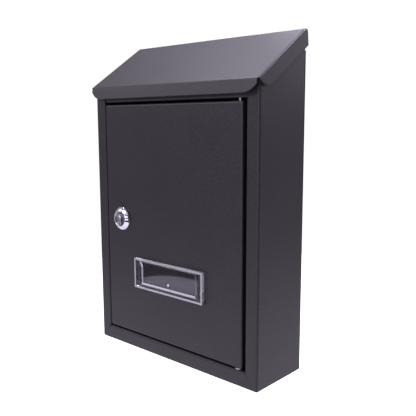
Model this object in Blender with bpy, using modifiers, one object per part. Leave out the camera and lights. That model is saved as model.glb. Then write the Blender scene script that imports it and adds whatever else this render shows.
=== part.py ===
"""Wall mounted mailbox of folded sheet steel, with a locking front door and a mail lid.

Frame: the middle of the wall face is the origin, +Y points into the wall, the front faces -Y.
Inside the functions, heights run from the body's underside and depths (Y) from the wall face.
"""
import math

import bmesh
import bpy
from mathutils import Matrix, Vector

MM = 0.001

# Sheet metal
SHEET = 1.0 * MM
GAP = 0.3 * MM
BEND = 1.7 * MM
BEND_STEPS = 3

# Body
BODY_WIDTH = 215 * MM
BODY_DEPTH = 68 * MM
FRONT_Y = -BODY_DEPTH
STRIP_WIDTH = 13.8 * MM
OPENING_BOTTOM = 15.2 * MM
FRAME_RETURN = 12 * MM
REAR_RETURN = 9 * MM
SEAM_WIDTH = 0.5 * MM
SEAM_END = 3 * MM
PANEL_TOP = 298.3 * MM
PANEL_INSET = 0.6 * MM
WALL_FACE_MIDDLE = (PANEL_TOP + PANEL_INSET) / 2
SCREW_HOLE_RADIUS = 2.5 * MM
SCREW_HOLE_X = 75 * MM
SCREW_HOLE_HEIGHTS = {"lower": 45 * MM, "upper": 245 * MM}

# Rail over the door
RAIL_BOTTOM = 255.7 * MM
RAIL_TOP = 268.5 * MM
RAIL_DEPTH = 12 * MM

# Door and its hinge
DOOR_LEFT = -92.9 * MM
DOOR_RIGHT = 90.0 * MM
DOOR_BOTTOM = OPENING_BOTTOM + 1.7 * MM
DOOR_TOP = RAIL_BOTTOM - 2.2 * MM
DOOR_DEPTH = 10 * MM
DOOR_AXIS = Vector((84 * MM, FRONT_Y + 4.5 * MM, 0))
PIN_RADIUS = 1.5 * MM
PIN_HEAD_RADIUS = 3.0 * MM
PEEN_RADIUS = 1.95 * MM
PIN_CLEARANCE = 0.3 * MM

# Lid
LID_HALF_WIDTH = 109.85 * MM
LID_SLOPE = math.radians(34.1)
LID_FRONT_Y = FRONT_Y - 4.5 * MM
LID_BACK_Y = -1.3 * MM
LID_FOLD = 271 * MM
LID_LIP_BOTTOM = 259.3 * MM
LID_SIDE_DEPTH = 13.4 * MM
LID_FRONT_FLARE = math.radians(8)
LID_SIDE_FLARE = math.radians(4)
LID_FLANGE_BOTTOM = 301 * MM
LID_CORNER_STEP = 1.2 * MM
LIP_END_RADIUS = 16.5 * MM
LIP_CUTTER_DEPTH = 6.4 * MM
LID_RIDGE = LID_FOLD + (LID_BACK_Y - LID_FRONT_Y) * math.tan(LID_SLOPE)
LID_AXIS = Vector((0, -6.3 * MM, 310.9 * MM))
ROD_RADIUS = 1.4 * MM
EAR_RADIUS = 2.7 * MM
EAR_NOTCH_RADIUS = 12.2 * MM

# Lock
LOCK_AXIS = Vector((-69.3 * MM, FRONT_Y, 136.7 * MM))
COLLAR_RADIUS = 12.25 * MM
BARREL_RADIUS = 9.0 * MM
BARREL_FLAT = 8.0 * MM
BARREL_LENGTH = 11.7 * MM
PLUG_RADIUS = 5.5 * MM
CAM_LENGTH = 30 * MM

# Name window
WINDOW_CENTRE = Vector((-1.5 * MM, FRONT_Y, 83 * MM))
WINDOW_WIDTH = 94 * MM
WINDOW_HEIGHT = 30.7 * MM
WINDOW_THICKNESS = 3.0 * MM
POCKET_WIDTH = 76 * MM
POCKET_HEIGHT = 21 * MM
PEG_X = 42.5 * MM
PEG_HEIGHT = -6.4 * MM
PEG_RADIUS = 2.0 * MM


def clear_scene():
    for thing in list(bpy.data.objects):
        bpy.data.objects.remove(thing, do_unlink=True)


def make_collection(name):
    group = bpy.data.collections.new(name)
    bpy.context.scene.collection.children.link(group)
    return group


def make_material(name, colour, roughness, metallic):
    material = bpy.data.materials.new(name)
    material.use_nodes = True
    shader = material.node_tree.nodes["Principled BSDF"]
    shader.inputs["Base Color"].default_value = (*colour, 1)
    shader.inputs["Roughness"].default_value = roughness
    shader.inputs["Metallic"].default_value = metallic
    return material


clear_scene()
PARTS = make_collection("wall_mailbox")
CUTTERS = make_collection("cutters")


def make_empty(name, place, parent=None):
    """An axis or origin marker; place is in the parent's frame."""
    empty = bpy.data.objects.new(name, None)
    empty.empty_display_size = 0.01
    empty.location = place
    empty.parent = parent
    PARTS.objects.link(empty)
    return empty


ROOT = make_empty("mailbox_origin", (0, 0, -WALL_FACE_MIDDLE))


def add_mesh(name, bm, group=PARTS):
    bmesh.ops.recalc_face_normals(bm, faces=bm.faces)
    mesh = bpy.data.meshes.new(name)
    bm.to_mesh(mesh)
    bm.free()
    thing = bpy.data.objects.new(name, mesh)
    thing.parent = ROOT
    group.objects.link(thing)
    return thing


def finish(thing, material, axis=None):
    """Give the piece its material, smooth shading and, if it moves, its axis as parent."""
    thing.data.materials.append(material)
    thing.data.shade_smooth()
    thing.data.set_sharp_from_angle(angle=math.radians(30))
    if axis:
        thing.location -= axis.location
        thing.parent = axis
    return thing


def box_bmesh(low, high):
    low = Vector(low)
    high = Vector(high)
    bm = bmesh.new()
    bmesh.ops.create_cube(bm, size=1)
    bmesh.ops.scale(bm, verts=bm.verts, vec=high - low)
    bmesh.ops.translate(bm, verts=bm.verts, vec=(high + low) / 2)
    return bm


def make_box(name, low, high, group=PARTS):
    return add_mesh(name, box_bmesh(low, high), group)


def make_cylinder(name, radius, start, end, segments=32, group=PARTS):
    """A round bar between two points on a line along X, Y or Z."""
    start = Vector(start)
    end = Vector(end)
    bm = bmesh.new()
    turn = Vector((0, 0, 1)).rotation_difference(end - start).to_matrix().to_4x4()
    bmesh.ops.create_cone(
        bm, cap_ends=True, segments=segments, radius1=radius, radius2=radius,
        depth=(end - start).length, matrix=Matrix.Translation((start + end) / 2) @ turn,
    )
    return add_mesh(name, bm, group)


def make_turned(name, profile, place, turn, segments=48, closed=True, group=PARTS):
    """A Screw on a profile of (radius, height) points, running down its outer side."""
    bm = bmesh.new()
    verts = [bm.verts.new((radius, 0, height)) for radius, height in profile]
    for first, second in zip(verts, verts[1:]):
        bm.edges.new((first, second))
    if closed:
        bm.edges.new((verts[-1], verts[0]))
    mesh = bpy.data.meshes.new(name)
    bm.to_mesh(mesh)
    bm.free()
    thing = bpy.data.objects.new(name, mesh)
    thing.parent = ROOT
    thing.location = place
    thing.rotation_euler = turn
    group.objects.link(thing)
    screw = thing.modifiers.new("turn", "SCREW")
    screw.steps = segments
    screw.render_steps = segments
    screw.use_merge_vertices = True
    screw.merge_threshold = 0.00001
    return thing


def make_ring(name, inner, outer, low, high, place, turn=(0, 0, 0), segments=32):
    """A washer or clip: a turned ring between two heights."""
    edge = min(0.15 * MM, (high - low) / 4)
    profile = [
        (inner, high), (outer - edge, high), (outer, high - edge),
        (outer, low + edge), (outer - edge, low), (inner, low),
    ]
    return make_turned(name, profile, place, turn, segments)


PLANES = {
    "XZ": Matrix.Rotation(math.radians(90), 4, "X"),
    "YZ": Matrix.Rotation(math.radians(90), 4, "Z") @ Matrix.Rotation(math.radians(90), 4, "X"),
}


def make_plate(name, outline, plane, middle, thickness, group=PARTS):
    """A flat outline in a plane, extruded to both sides of its middle."""
    curve = bpy.data.curves.new(name, "CURVE")
    curve.dimensions = "2D"
    curve.fill_mode = "BOTH"
    curve.extrude = thickness / 2
    spline = curve.splines.new("POLY")
    spline.points.add(len(outline) - 1)
    for point, (across, up) in zip(spline.points, outline):
        point.co = (across, up, 0, 1)
    spline.use_cyclic_u = True
    guide = bpy.data.objects.new(name + "_outline", curve)
    group.objects.link(guide)
    bpy.context.view_layer.update()
    evaluated = guide.evaluated_get(bpy.context.evaluated_depsgraph_get())
    mesh = bpy.data.meshes.new_from_object(evaluated)
    mesh.name = name
    bpy.data.objects.remove(guide, do_unlink=True)
    bm = bmesh.new()
    bm.from_mesh(mesh)
    bmesh.ops.remove_doubles(bm, verts=bm.verts, dist=0.00001)
    bmesh.ops.transform(bm, matrix=Matrix.Translation(middle) @ PLANES[plane], verts=bm.verts)
    bpy.data.meshes.remove(mesh)
    return add_mesh(name, bm, group)


def arc(centre, radius, start, end, steps):
    """Points on an arc, with its angles in degrees."""
    points = []
    for step in range(steps + 1):
        angle = math.radians(start + (end - start) * step / steps)
        points.append((centre[0] + radius * math.cos(angle), centre[1] + radius * math.sin(angle)))
    return points


def combine(thing, tool, operation):
    tool.hide_render = True
    tool.display_type = "WIRE"
    modifier = thing.modifiers.new(tool.name, "BOOLEAN")
    modifier.operation = operation
    modifier.object = tool


def cut(thing, tool):
    combine(thing, tool, "DIFFERENCE")


def join(thing, tool):
    combine(thing, tool, "UNION")


def add_bevel(thing, width, segments=2):
    bevel = thing.modifiers.new("edges", "BEVEL")
    bevel.width = width
    bevel.segments = segments
    bevel.limit_method = "ANGLE"
    bevel.angle_limit = math.radians(40)


def add_sheet(thing):
    """Turn an open surface into sheet metal, with its outer face where the surface is."""
    sheet = thing.modifiers.new("sheet", "SOLIDIFY")
    sheet.thickness = SHEET
    sheet.offset = -1
    sheet.use_even_offset = True


def round_edges(bm, edges, radius, turn=math.radians(90), steps=BEND_STEPS):
    """Round folds that turn the sheet by an angle, to an outer radius."""
    bmesh.ops.bevel(
        bm, geom=edges, offset=radius * math.tan(turn / 2), offset_type="OFFSET",
        segments=steps, profile=0.5, affect="EDGES", clamp_overlap=False,
    )


def faces_towards(bm, direction):
    return [face for face in bm.faces if face.normal.dot(Vector(direction)) > 0.99]


def sharp_edges(bm):
    return [edge for edge in bm.edges if edge.is_manifold and edge.calc_face_angle() > 0.5]


def lid_line(depth, y):
    """Height of the line parallel to the lid's slope, a depth under its outer face."""
    return LID_FOLD + (y - LID_FRONT_Y) * math.tan(LID_SLOPE) - depth / math.cos(LID_SLOPE)


def wall_top_cutter():
    """Everything over the side walls: the slope under the lid, and the notch round each ear."""
    slope = math.degrees(LID_SLOPE)
    centre = (LID_AXIS.y, LID_AXIS.z)
    far = 1.5 * BODY_DEPTH
    above = LID_RIDGE + 40 * MM
    behind = 10 * MM
    top_start = Vector(centre) + Vector((-math.sin(LID_SLOPE), math.cos(LID_SLOPE))) * EAR_RADIUS
    top_start -= Vector((math.cos(LID_SLOPE), math.sin(LID_SLOPE))) * far
    join_angle = slope + 180 + math.degrees(math.asin(EAR_RADIUS / EAR_NOTCH_RADIUS))
    outline = [tuple(top_start)]
    outline += arc(centre, EAR_RADIUS, slope + 90, slope - 90, 10)
    outline += arc(centre, EAR_NOTCH_RADIUS, join_angle, 310, 8)
    outline += [(behind, outline[-1][1]), (behind, above), (top_start.x, above)]
    return make_plate("wall_top_cutter", outline, "YZ", (0, 0, 0), 2 * BODY_WIDTH, CUTTERS)


def vert_at(bm, place):
    return min(bm.verts, key=lambda vert: (vert.co - Vector(place)).length)


def open_mitre(bm, side):
    """Parts the side strip from the bottom strip along their mitre, nearly out to the corner."""
    x = side * (BODY_WIDTH / 2 - STRIP_WIDTH)
    outer = vert_at(bm, (side * BODY_WIDTH / 2, FRONT_Y, 0))
    inner = vert_at(bm, (x, FRONT_Y, OPENING_BOTTOM))
    back = vert_at(bm, (x, FRONT_Y + FRAME_RETURN, OPENING_BOTTOM))
    mitre = bm.edges.get((outer, inner))
    bmesh.utils.edge_split(mitre, outer, SEAM_END / mitre.calc_length())
    seam = [bm.edges.get((inner, back))]
    for edge in inner.link_edges:
        in_front = all(abs(face.normal.y) > 0.9 for face in edge.link_faces)
        if in_front and edge.is_manifold and outer not in edge.verts:
            seam.append(edge)
    places = (inner.co.copy(), back.co.copy())
    bmesh.ops.split_edges(bm, edges=seam)
    for place in places:
        for vert in [vert for vert in bm.verts if (vert.co - place).length < 0.01 * MM]:
            middle = sum((face.calc_center_median() for face in vert.link_faces), Vector())
            middle /= len(vert.link_faces)
            if middle.z > OPENING_BOTTOM:
                vert.co.z += SEAM_WIDTH / 2
            else:
                vert.co.x -= side * SEAM_WIDTH / 2


def folded_body():
    """The body's outer surface: sides, bottom, front strips with returns, and rear returns."""
    half = BODY_WIDTH / 2
    rear = -SHEET - GAP
    above = 330 * MM
    bm = box_bmesh((-half, FRONT_Y, 0), (half, rear, above))
    back = faces_towards(bm, (0, 1, 0))
    bmesh.ops.inset_region(bm, faces=back, thickness=REAR_RETURN, use_even_offset=True)
    bmesh.ops.delete(bm, geom=back, context="FACES_ONLY")
    front = faces_towards(bm, (0, -1, 0))
    bmesh.ops.inset_region(bm, faces=front, thickness=STRIP_WIDTH, use_even_offset=True)
    for vert in front[0].verts:
        if vert.co.z < above / 2:
            vert.co.z = OPENING_BOTTOM
    rim = list(front[0].edges)
    bmesh.ops.delete(bm, geom=front, context="FACES_ONLY")
    returned = bmesh.ops.extrude_edge_only(bm, edges=rim)["geom"]
    verts = [part for part in returned if isinstance(part, bmesh.types.BMVert)]
    bmesh.ops.translate(bm, verts=verts, vec=(0, FRAME_RETURN, 0))
    top = [face for face in bm.faces if min(vert.co.z for vert in face.verts) > above - STRIP_WIDTH - MM]
    bmesh.ops.delete(bm, geom=top, context="FACES")
    bmesh.ops.recalc_face_normals(bm, faces=bm.faces)
    for side in (-1, 1):
        open_mitre(bm, side)
    return bm


def build_body_wrap(paint):
    """The folded body, its folds rounded, then cut to the slope of the lid and drilled."""
    bm = folded_body()
    round_edges(bm, sharp_edges(bm), BEND)
    wrap = add_mesh("body_wrap", bm)
    add_sheet(wrap)
    cut(wrap, wall_top_cutter())
    behind_strip = FRONT_Y + SHEET + 0.02 * MM
    cut(wrap, make_box(
        "rail_space_cutter",
        (-BODY_WIDTH / 2 + 3 * MM, behind_strip, RAIL_BOTTOM - GAP),
        (BODY_WIDTH / 2 - 3 * MM, FRONT_Y + 20 * MM, 290 * MM), CUTTERS,
    ))
    pin = DOOR_AXIS
    cut(wrap, make_cylinder(
        "frame_pin_hole_cutter", PIN_RADIUS + PIN_CLEARANCE,
        (pin.x, pin.y, 8 * MM), (pin.x, pin.y, 22 * MM), 24, CUTTERS,
    ))
    cut(wrap, make_cylinder(
        "rod_hole_cutter", ROD_RADIUS + GAP,
        (-BODY_WIDTH, LID_AXIS.y, LID_AXIS.z), (BODY_WIDTH, LID_AXIS.y, LID_AXIS.z), 20, CUTTERS,
    ))
    return finish(wrap, paint)


def build_back_panel(paint):
    half = BODY_WIDTH / 2 - PANEL_INSET
    panel = make_box("back_panel", (-half, -SHEET, PANEL_INSET), (half, 0, PANEL_TOP))
    reach = 5 * MM
    for name, x in (("left", -SCREW_HOLE_X), ("right", SCREW_HOLE_X)):
        for level, height in SCREW_HOLE_HEIGHTS.items():
            cut(panel, make_cylinder(
                f"screw_hole_cutter_{level}_{name}", SCREW_HOLE_RADIUS,
                (x, -reach, height), (x, reach, height), 24, CUTTERS,
            ))
    return finish(panel, paint)


def build_top_rail(paint):
    """Channel between the side walls, over the door; the mail drops in behind it."""
    half = BODY_WIDTH / 2 - SHEET - 0.4 * MM
    front = FRONT_Y + SHEET + GAP
    bm = box_bmesh((-half, front, RAIL_BOTTOM), (half, front + RAIL_DEPTH, RAIL_TOP))
    for direction in ((0, 1, 0), (1, 0, 0), (-1, 0, 0)):
        bmesh.ops.delete(bm, geom=faces_towards(bm, direction), context="FACES_ONLY")
    round_edges(bm, sharp_edges(bm), BEND)
    rail = add_mesh("top_rail", bm)
    add_sheet(rail)
    pin = DOOR_AXIS
    cut(rail, make_cylinder(
        "rail_pin_hole_cutter", PIN_RADIUS + PIN_CLEARANCE,
        (pin.x, pin.y, RAIL_BOTTOM - 3 * MM), (pin.x, pin.y, RAIL_BOTTOM + 3 * MM), 24, CUTTERS,
    ))
    return finish(rail, paint)


def double_d(radius, flat, steps=12):
    """A circle cut flat on its left and right."""
    angle = math.degrees(math.acos(flat / radius))
    top = arc((0, 0), radius, angle, 180 - angle, steps)
    return top + arc((0, 0), radius, 180 + angle, 360 - angle, steps)


def shift(outline, place):
    return [(x + place.x, z + place.z) for x, z in outline]


def build_door(paint, axis):
    """A folded pan with holes for the hinge pins, the lock barrel and the window's pegs."""
    bm = box_bmesh(
        (DOOR_LEFT, FRONT_Y, DOOR_BOTTOM), (DOOR_RIGHT, FRONT_Y + DOOR_DEPTH, DOOR_TOP)
    )
    bmesh.ops.delete(bm, geom=faces_towards(bm, (0, 1, 0)), context="FACES_ONLY")
    round_edges(bm, sharp_edges(bm), BEND)
    door = add_mesh("door_panel", bm)
    add_sheet(door)
    pin = DOOR_AXIS
    for name, height in (("lower", DOOR_BOTTOM), ("upper", DOOR_TOP)):
        cut(door, make_cylinder(
            f"door_{name}_pin_hole_cutter", PIN_RADIUS + PIN_CLEARANCE,
            (pin.x, pin.y, height - 3 * MM), (pin.x, pin.y, height + 3 * MM), 24, CUTTERS,
        ))
    hole = shift(double_d(BARREL_RADIUS + GAP, BARREL_FLAT + GAP), LOCK_AXIS)
    cut(door, make_plate("lock_hole_cutter", hole, "XZ", (0, FRONT_Y, 0), 8 * MM, CUTTERS))
    for side, name in ((-1, "left"), (1, "right")):
        place = WINDOW_CENTRE + Vector((side * PEG_X, 0, PEG_HEIGHT))
        cut(door, make_cylinder(
            f"peg_hole_cutter_{name}", PEG_RADIUS + GAP,
            place - Vector((0, 4 * MM, 0)), place + Vector((0, 4 * MM, 0)), 24, CUTTERS,
        ))
    return finish(door, paint, axis)


def build_hinge_pins(zinc, steel):
    """Two pins stand in the frame, and the door turns on them.

    The lower one has a full head. The upper one is peened over in the narrow rail.
    """
    place = (DOOR_AXIS.x, DOOR_AXIS.y, 0)
    lower_head = OPENING_BOTTOM - SHEET - GAP
    upper_head = RAIL_BOTTOM + SHEET + GAP
    shank = 6.3 * MM
    lower = [
        (0, lower_head + shank), (PIN_RADIUS - 0.3 * MM, lower_head + shank),
        (PIN_RADIUS, lower_head + shank - 0.3 * MM), (PIN_RADIUS, lower_head),
        (PIN_HEAD_RADIUS, lower_head), (PIN_HEAD_RADIUS, lower_head - 1.0 * MM),
        (PIN_HEAD_RADIUS - 0.5 * MM, lower_head - 1.5 * MM), (0, lower_head - 1.5 * MM),
    ]
    upper = [
        (0, upper_head + 1.0 * MM), (PEEN_RADIUS - 0.3 * MM, upper_head + 1.0 * MM),
        (PEEN_RADIUS, upper_head + 0.7 * MM), (PEEN_RADIUS, upper_head),
        (PIN_RADIUS, upper_head), (PIN_RADIUS, upper_head - shank + 0.3 * MM),
        (PIN_RADIUS - 0.3 * MM, upper_head - shank), (0, upper_head - shank),
    ]
    finish(make_turned("lower_hinge_pin", lower, place, (0, 0, 0), 24, closed=False), zinc)
    finish(make_turned("upper_hinge_pin", upper, place, (0, 0, 0), 24, closed=False), zinc)
    bore = PIN_RADIUS + PIN_CLEARANCE
    finish(make_ring(
        "lower_hinge_washer", bore, 4.0 * MM, OPENING_BOTTOM + GAP, DOOR_BOTTOM - GAP, place,
    ), steel)
    clip_gap = SHEET + GAP
    clip = 0.7 * MM
    clip_radius = 3.2 * MM
    finish(make_ring(
        "lower_pin_clip", bore, clip_radius, DOOR_BOTTOM + clip_gap, DOOR_BOTTOM + clip_gap + clip, place,
    ), steel)
    finish(make_ring(
        "upper_pin_clip", bore, clip_radius, DOOR_TOP - clip_gap - clip, DOOR_TOP - clip_gap, place,
    ), steel)


FACE_FRONT = (math.radians(90), 0, 0)


def lock_box(name, low, high):
    """A cutter box in the lock's frame: X right, height out of the door, then Z up."""
    low_corner = (LOCK_AXIS.x + low[0], LOCK_AXIS.y - high[1], LOCK_AXIS.z + low[2])
    high_corner = (LOCK_AXIS.x + high[0], LOCK_AXIS.y - low[1], LOCK_AXIS.z + high[2])
    return make_box(name, low_corner, high_corner, CUTTERS)


def build_lock_housing(chrome, axis):
    """Collar and threaded barrel, turned in one piece, with two flats on the barrel."""
    bore = PLUG_RADIUS + GAP
    profile = [
        (bore, 3.0 * MM), (7.0 * MM, 3.0 * MM), (8.4 * MM, 4.4 * MM), (10.3 * MM, 4.4 * MM),
        (11.5 * MM, 3.7 * MM), (COLLAR_RADIUS, 1.4 * MM), (COLLAR_RADIUS, GAP),
        (BARREL_RADIUS, GAP), (BARREL_RADIUS, -BARREL_LENGTH), (bore, -BARREL_LENGTH),
    ]
    housing = make_turned("lock_housing", profile, LOCK_AXIS, FACE_FRONT)
    reach = 15 * MM
    for name, low_x, high_x in (
        ("left", -reach, -BARREL_FLAT), ("right", BARREL_FLAT, reach),
    ):
        cut(housing, lock_box(
            f"barrel_flat_cutter_{name}", (low_x, -reach, -reach), (high_x, 0.1 * MM, reach),
        ))
    return finish(housing, chrome, axis)


def build_lock_fasteners(steel, axis):
    bore = BARREL_RADIUS + GAP
    washer_top = -SHEET - GAP
    washer_bottom = washer_top - 0.7 * MM
    nut_top = washer_bottom - GAP
    nut_height = 4 * MM
    washer = make_ring(
        "lock_washer", bore, 12.5 * MM, washer_bottom, washer_top, LOCK_AXIS, FACE_FRONT,
    )
    finish(washer, steel, axis)
    across_flats = 24 * MM
    corner = across_flats / 2 / math.cos(math.radians(30))
    hexagon = shift(arc((0, 0), corner, 0, 300, 5), LOCK_AXIS)
    middle = FRONT_Y - nut_top + nut_height / 2
    nut = make_plate("lock_nut", hexagon, "XZ", (0, middle, 0), nut_height)
    cut(nut, make_cylinder(
        "nut_bore_cutter", bore, LOCK_AXIS, LOCK_AXIS + Vector((0, 12 * MM, 0)), 32, CUTTERS,
    ))
    finish(nut, steel, axis)


def build_lock_core(chrome, steel, axis):
    """Plug, cam and cam screw: what the key turns."""
    back = -BARREL_LENGTH - 0.2 * MM
    stem = 3.5 * MM
    stem_back = back - 2.5 * MM
    plug = make_turned("lock_plug", [
        (0, 3.3 * MM), (PLUG_RADIUS - 0.3 * MM, 3.3 * MM), (PLUG_RADIUS, 3.0 * MM),
        (PLUG_RADIUS, back), (0, back),
    ], LOCK_AXIS, FACE_FRONT, 40, closed=False)
    join(plug, lock_box("plug_stem_tool", (-stem, stem_back, -stem), (stem, back + 1 * MM, stem)))
    cut(plug, lock_box("keyway_cutter", (-0.6 * MM, -4 * MM, -3.6 * MM), (0.6 * MM, 6 * MM, 3.6 * MM)))
    hole = 1.7 * MM
    cut(plug, make_cylinder(
        "cam_screw_hole_cutter", hole, LOCK_AXIS + Vector((0, 8 * MM, 0)),
        LOCK_AXIS + Vector((0, 20 * MM, 0)), 20, CUTTERS,
    ))
    finish(plug, chrome, axis)

    cam_top = back - 0.9 * MM
    cam_thickness = 1.8 * MM
    hub = 8 * MM
    tip = 6 * MM
    outline = arc((0, 0), hub, -30, 210, 14)
    outline += arc((-tip + 2 * MM, -CAM_LENGTH + 2 * MM), 2 * MM, 180, 270, 3)
    outline += arc((tip - 2 * MM, -CAM_LENGTH + 2 * MM), 2 * MM, 270, 360, 3)
    cam_middle = FRONT_Y - cam_top + cam_thickness / 2
    cam = make_plate("lock_cam", shift(outline, LOCK_AXIS), "XZ", (0, cam_middle, 0), cam_thickness)
    hole_half = stem + GAP
    cut(cam, lock_box(
        "cam_hole_cutter", (-hole_half, -20 * MM, -hole_half), (hole_half, 0, hole_half),
    ))
    finish(cam, steel, axis)

    washer_top = cam_top - cam_thickness - GAP
    washer_bottom = washer_top - 0.7 * MM
    finish(make_ring(
        "cam_washer", hole, 5.4 * MM, washer_bottom, washer_top, LOCK_AXIS, FACE_FRONT,
    ), steel, axis)
    head = washer_bottom - GAP
    finish(make_turned("cam_screw", [
        (0, -9.0 * MM), (1.4 * MM, -9.0 * MM), (1.4 * MM, head), (3.6 * MM, head),
        (3.6 * MM, head - 1.4 * MM), (2.6 * MM, head - 2.2 * MM), (0, head - 2.2 * MM),
    ], LOCK_AXIS, FACE_FRONT, 24, closed=False), steel, axis)


def build_name_window(clear, steel, axis):
    """A clear moulded card holder with a raised rim, pegged through the door."""
    centre = WINDOW_CENTRE
    half = Vector((WINDOW_WIDTH / 2, 0, WINDOW_HEIGHT / 2))
    back = centre.y - GAP
    bm = box_bmesh(
        (centre.x - half.x, back - WINDOW_THICKNESS, centre.z - half.z),
        (centre.x + half.x, back, centre.z + half.z),
    )
    face = faces_towards(bm, (0, -1, 0))
    side_land = (WINDOW_WIDTH - POCKET_WIDTH) / 2
    top_land = (WINDOW_HEIGHT - POCKET_HEIGHT) / 2
    bmesh.ops.inset_region(bm, faces=face, thickness=top_land, use_even_offset=True)
    for vert in face[0].verts:
        vert.co.x -= math.copysign(side_land - top_land, vert.co.x - centre.x)
    pocket = bmesh.ops.extrude_face_region(bm, geom=face)["geom"]
    bmesh.ops.delete(bm, geom=face, context="FACES_ONLY")
    verts = [part for part in pocket if isinstance(part, bmesh.types.BMVert)]
    bmesh.ops.translate(bm, verts=verts, vec=(0, WINDOW_THICKNESS - 1.0 * MM, 0))
    window = add_mesh("name_window", bm)
    add_bevel(window, 0.5 * MM)
    for side, name in ((-1, "left"), (1, "right")):
        place = centre + Vector((side * PEG_X, 0, PEG_HEIGHT))
        join(window, make_cylinder(
            f"window_peg_{name}", PEG_RADIUS,
            place - Vector((0, 1.5 * MM, 0)), place + Vector((0, 4.5 * MM, 0)), 20, CUTTERS,
        ))
        finish(make_ring(
            f"window_retainer_{name}", PEG_RADIUS + GAP, 5 * MM, -SHEET - GAP - 0.7 * MM,
            -SHEET - GAP, place, FACE_FRONT,
        ), steel, axis)
    return finish(window, clear, axis)


def lid_blank():
    """The lid as an open tray: sloped top and four lips, its folds rounded.

    The front and side lips stand out a little towards their lower edges.
    """
    deep = LID_RIDGE - LID_FLANGE_BOTTOM
    bm = box_bmesh((-LID_HALF_WIDTH, LID_FRONT_Y, 0), (LID_HALF_WIDTH, LID_BACK_Y, 1))
    for vert in bm.verts:
        is_low = vert.co.z < 0.5
        vert.co.z = lid_line(0, vert.co.y)
        if not is_low:
            continue
        vert.co.z -= deep
        vert.co.x += math.copysign(deep * math.tan(LID_SIDE_FLARE), vert.co.x)
        if vert.co.y < LID_BACK_Y:
            vert.co.y -= deep * math.tan(LID_FRONT_FLARE)
    bmesh.ops.recalc_face_normals(bm, faces=bm.faces)
    under = [face for face in bm.faces if face.normal.z < -0.5]
    bmesh.ops.delete(bm, geom=under, context="FACES_ONLY")
    slope = LID_SLOPE
    for height, turn, radius, steps in (
        (LID_RIDGE, math.radians(90) + slope, 3 * MM, 5),
        (LID_FOLD, math.radians(90) - slope - LID_FRONT_FLARE, 2 * MM, 3),
    ):
        edges = [
            edge for edge in bm.edges
            if all(abs(vert.co.z - height) < 0.01 * MM for vert in edge.verts)
            and abs(edge.verts[0].co.x - edge.verts[1].co.x) > LID_HALF_WIDTH
        ]
        round_edges(bm, edges, radius, turn, steps)
    rim = [
        edge for edge in bm.edges
        if edge.is_manifold and abs(edge.verts[0].co.x - edge.verts[1].co.x) < 5 * MM
    ]
    round_edges(bm, rim, 1.5 * MM)
    return bm


def lip_cutter():
    """Trims the front lip to height and rounds its ends up to the corners."""
    outer = LID_HALF_WIDTH + 5 * MM
    tip = LID_HALF_WIDTH - 0.6 * MM
    rise = LID_FOLD - LID_CORNER_STEP - LID_LIP_BOTTOM
    radius = LIP_END_RADIUS
    sweep = math.degrees(math.acos(1 - rise / radius))
    run = radius * math.sin(math.radians(sweep))
    centre = (tip - run, LID_LIP_BOTTOM + radius)
    right = arc(centre, radius, 270, 270 + sweep, 8)
    left = [(-x, z) for x, z in reversed(right)]
    low = LID_LIP_BOTTOM - 30 * MM
    outline = [(-outer, low), (outer, low), (outer, right[-1][1])] + right[::-1]
    outline += left[::-1] + [(-outer, left[0][1])]
    middle = (0, LID_FRONT_Y - 1 * MM, 0)
    return make_plate("lip_cutter", outline, "XZ", middle, LIP_CUTTER_DEPTH, CUTTERS)


def side_lip_cutter(side):
    """Trims a side lip parallel to the slope and rounds its front corner."""
    step = 1.6 * MM
    radius = LID_SIDE_DEPTH - step
    slope_deg = math.degrees(LID_SLOPE)
    along = Vector((math.cos(LID_SLOPE), math.sin(LID_SLOPE)))
    normal = Vector((-math.sin(LID_SLOPE), math.cos(LID_SLOPE)))
    fold = Vector((LID_FRONT_Y, LID_FOLD))
    centre = fold + along * (radius + LID_CORNER_STEP) - normal * step
    corner = arc(tuple(centre), radius, slope_deg + 180, slope_deg + 270, 8)
    rear = fold - normal * LID_SIDE_DEPTH + along * 1.4 * BODY_DEPTH
    ahead = corner[0][0] - 20 * MM
    low = LID_FOLD - 50 * MM
    outline = [tuple(rear)] + corner[::-1]
    outline += [(ahead, corner[0][1] + 1 * MM), (ahead, low), (rear.x, low)]
    inner = LID_HALF_WIDTH - 2.0 * MM
    outer = LID_HALF_WIDTH + 6 * MM
    name = "side_lip_cutter_left" if side < 0 else "side_lip_cutter_right"
    return make_plate(
        name, outline, "YZ", (side * (inner + outer) / 2, 0, 0), outer - inner, CUTTERS,
    )


def build_lid(paint, axis):
    lid = add_mesh("lid", lid_blank())
    add_sheet(lid)
    cut(lid, lip_cutter())
    for side, name in ((-1, "left"), (1, "right")):
        cut(lid, side_lip_cutter(side))
        inner = side * (LID_HALF_WIDTH - 15 * MM)
        outer = side * (LID_HALF_WIDTH - 1.2 * MM)
        join(lid, make_box(
            f"corner_tab_{name}",
            (min(inner, outer), LID_BACK_Y - 0.4 * MM, LID_FLANGE_BOTTOM + 2.6 * MM),
            (max(inner, outer), -GAP, LID_AXIS.z + 1.2 * MM), CUTTERS,
        ))
    return finish(lid, paint, axis)


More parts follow.
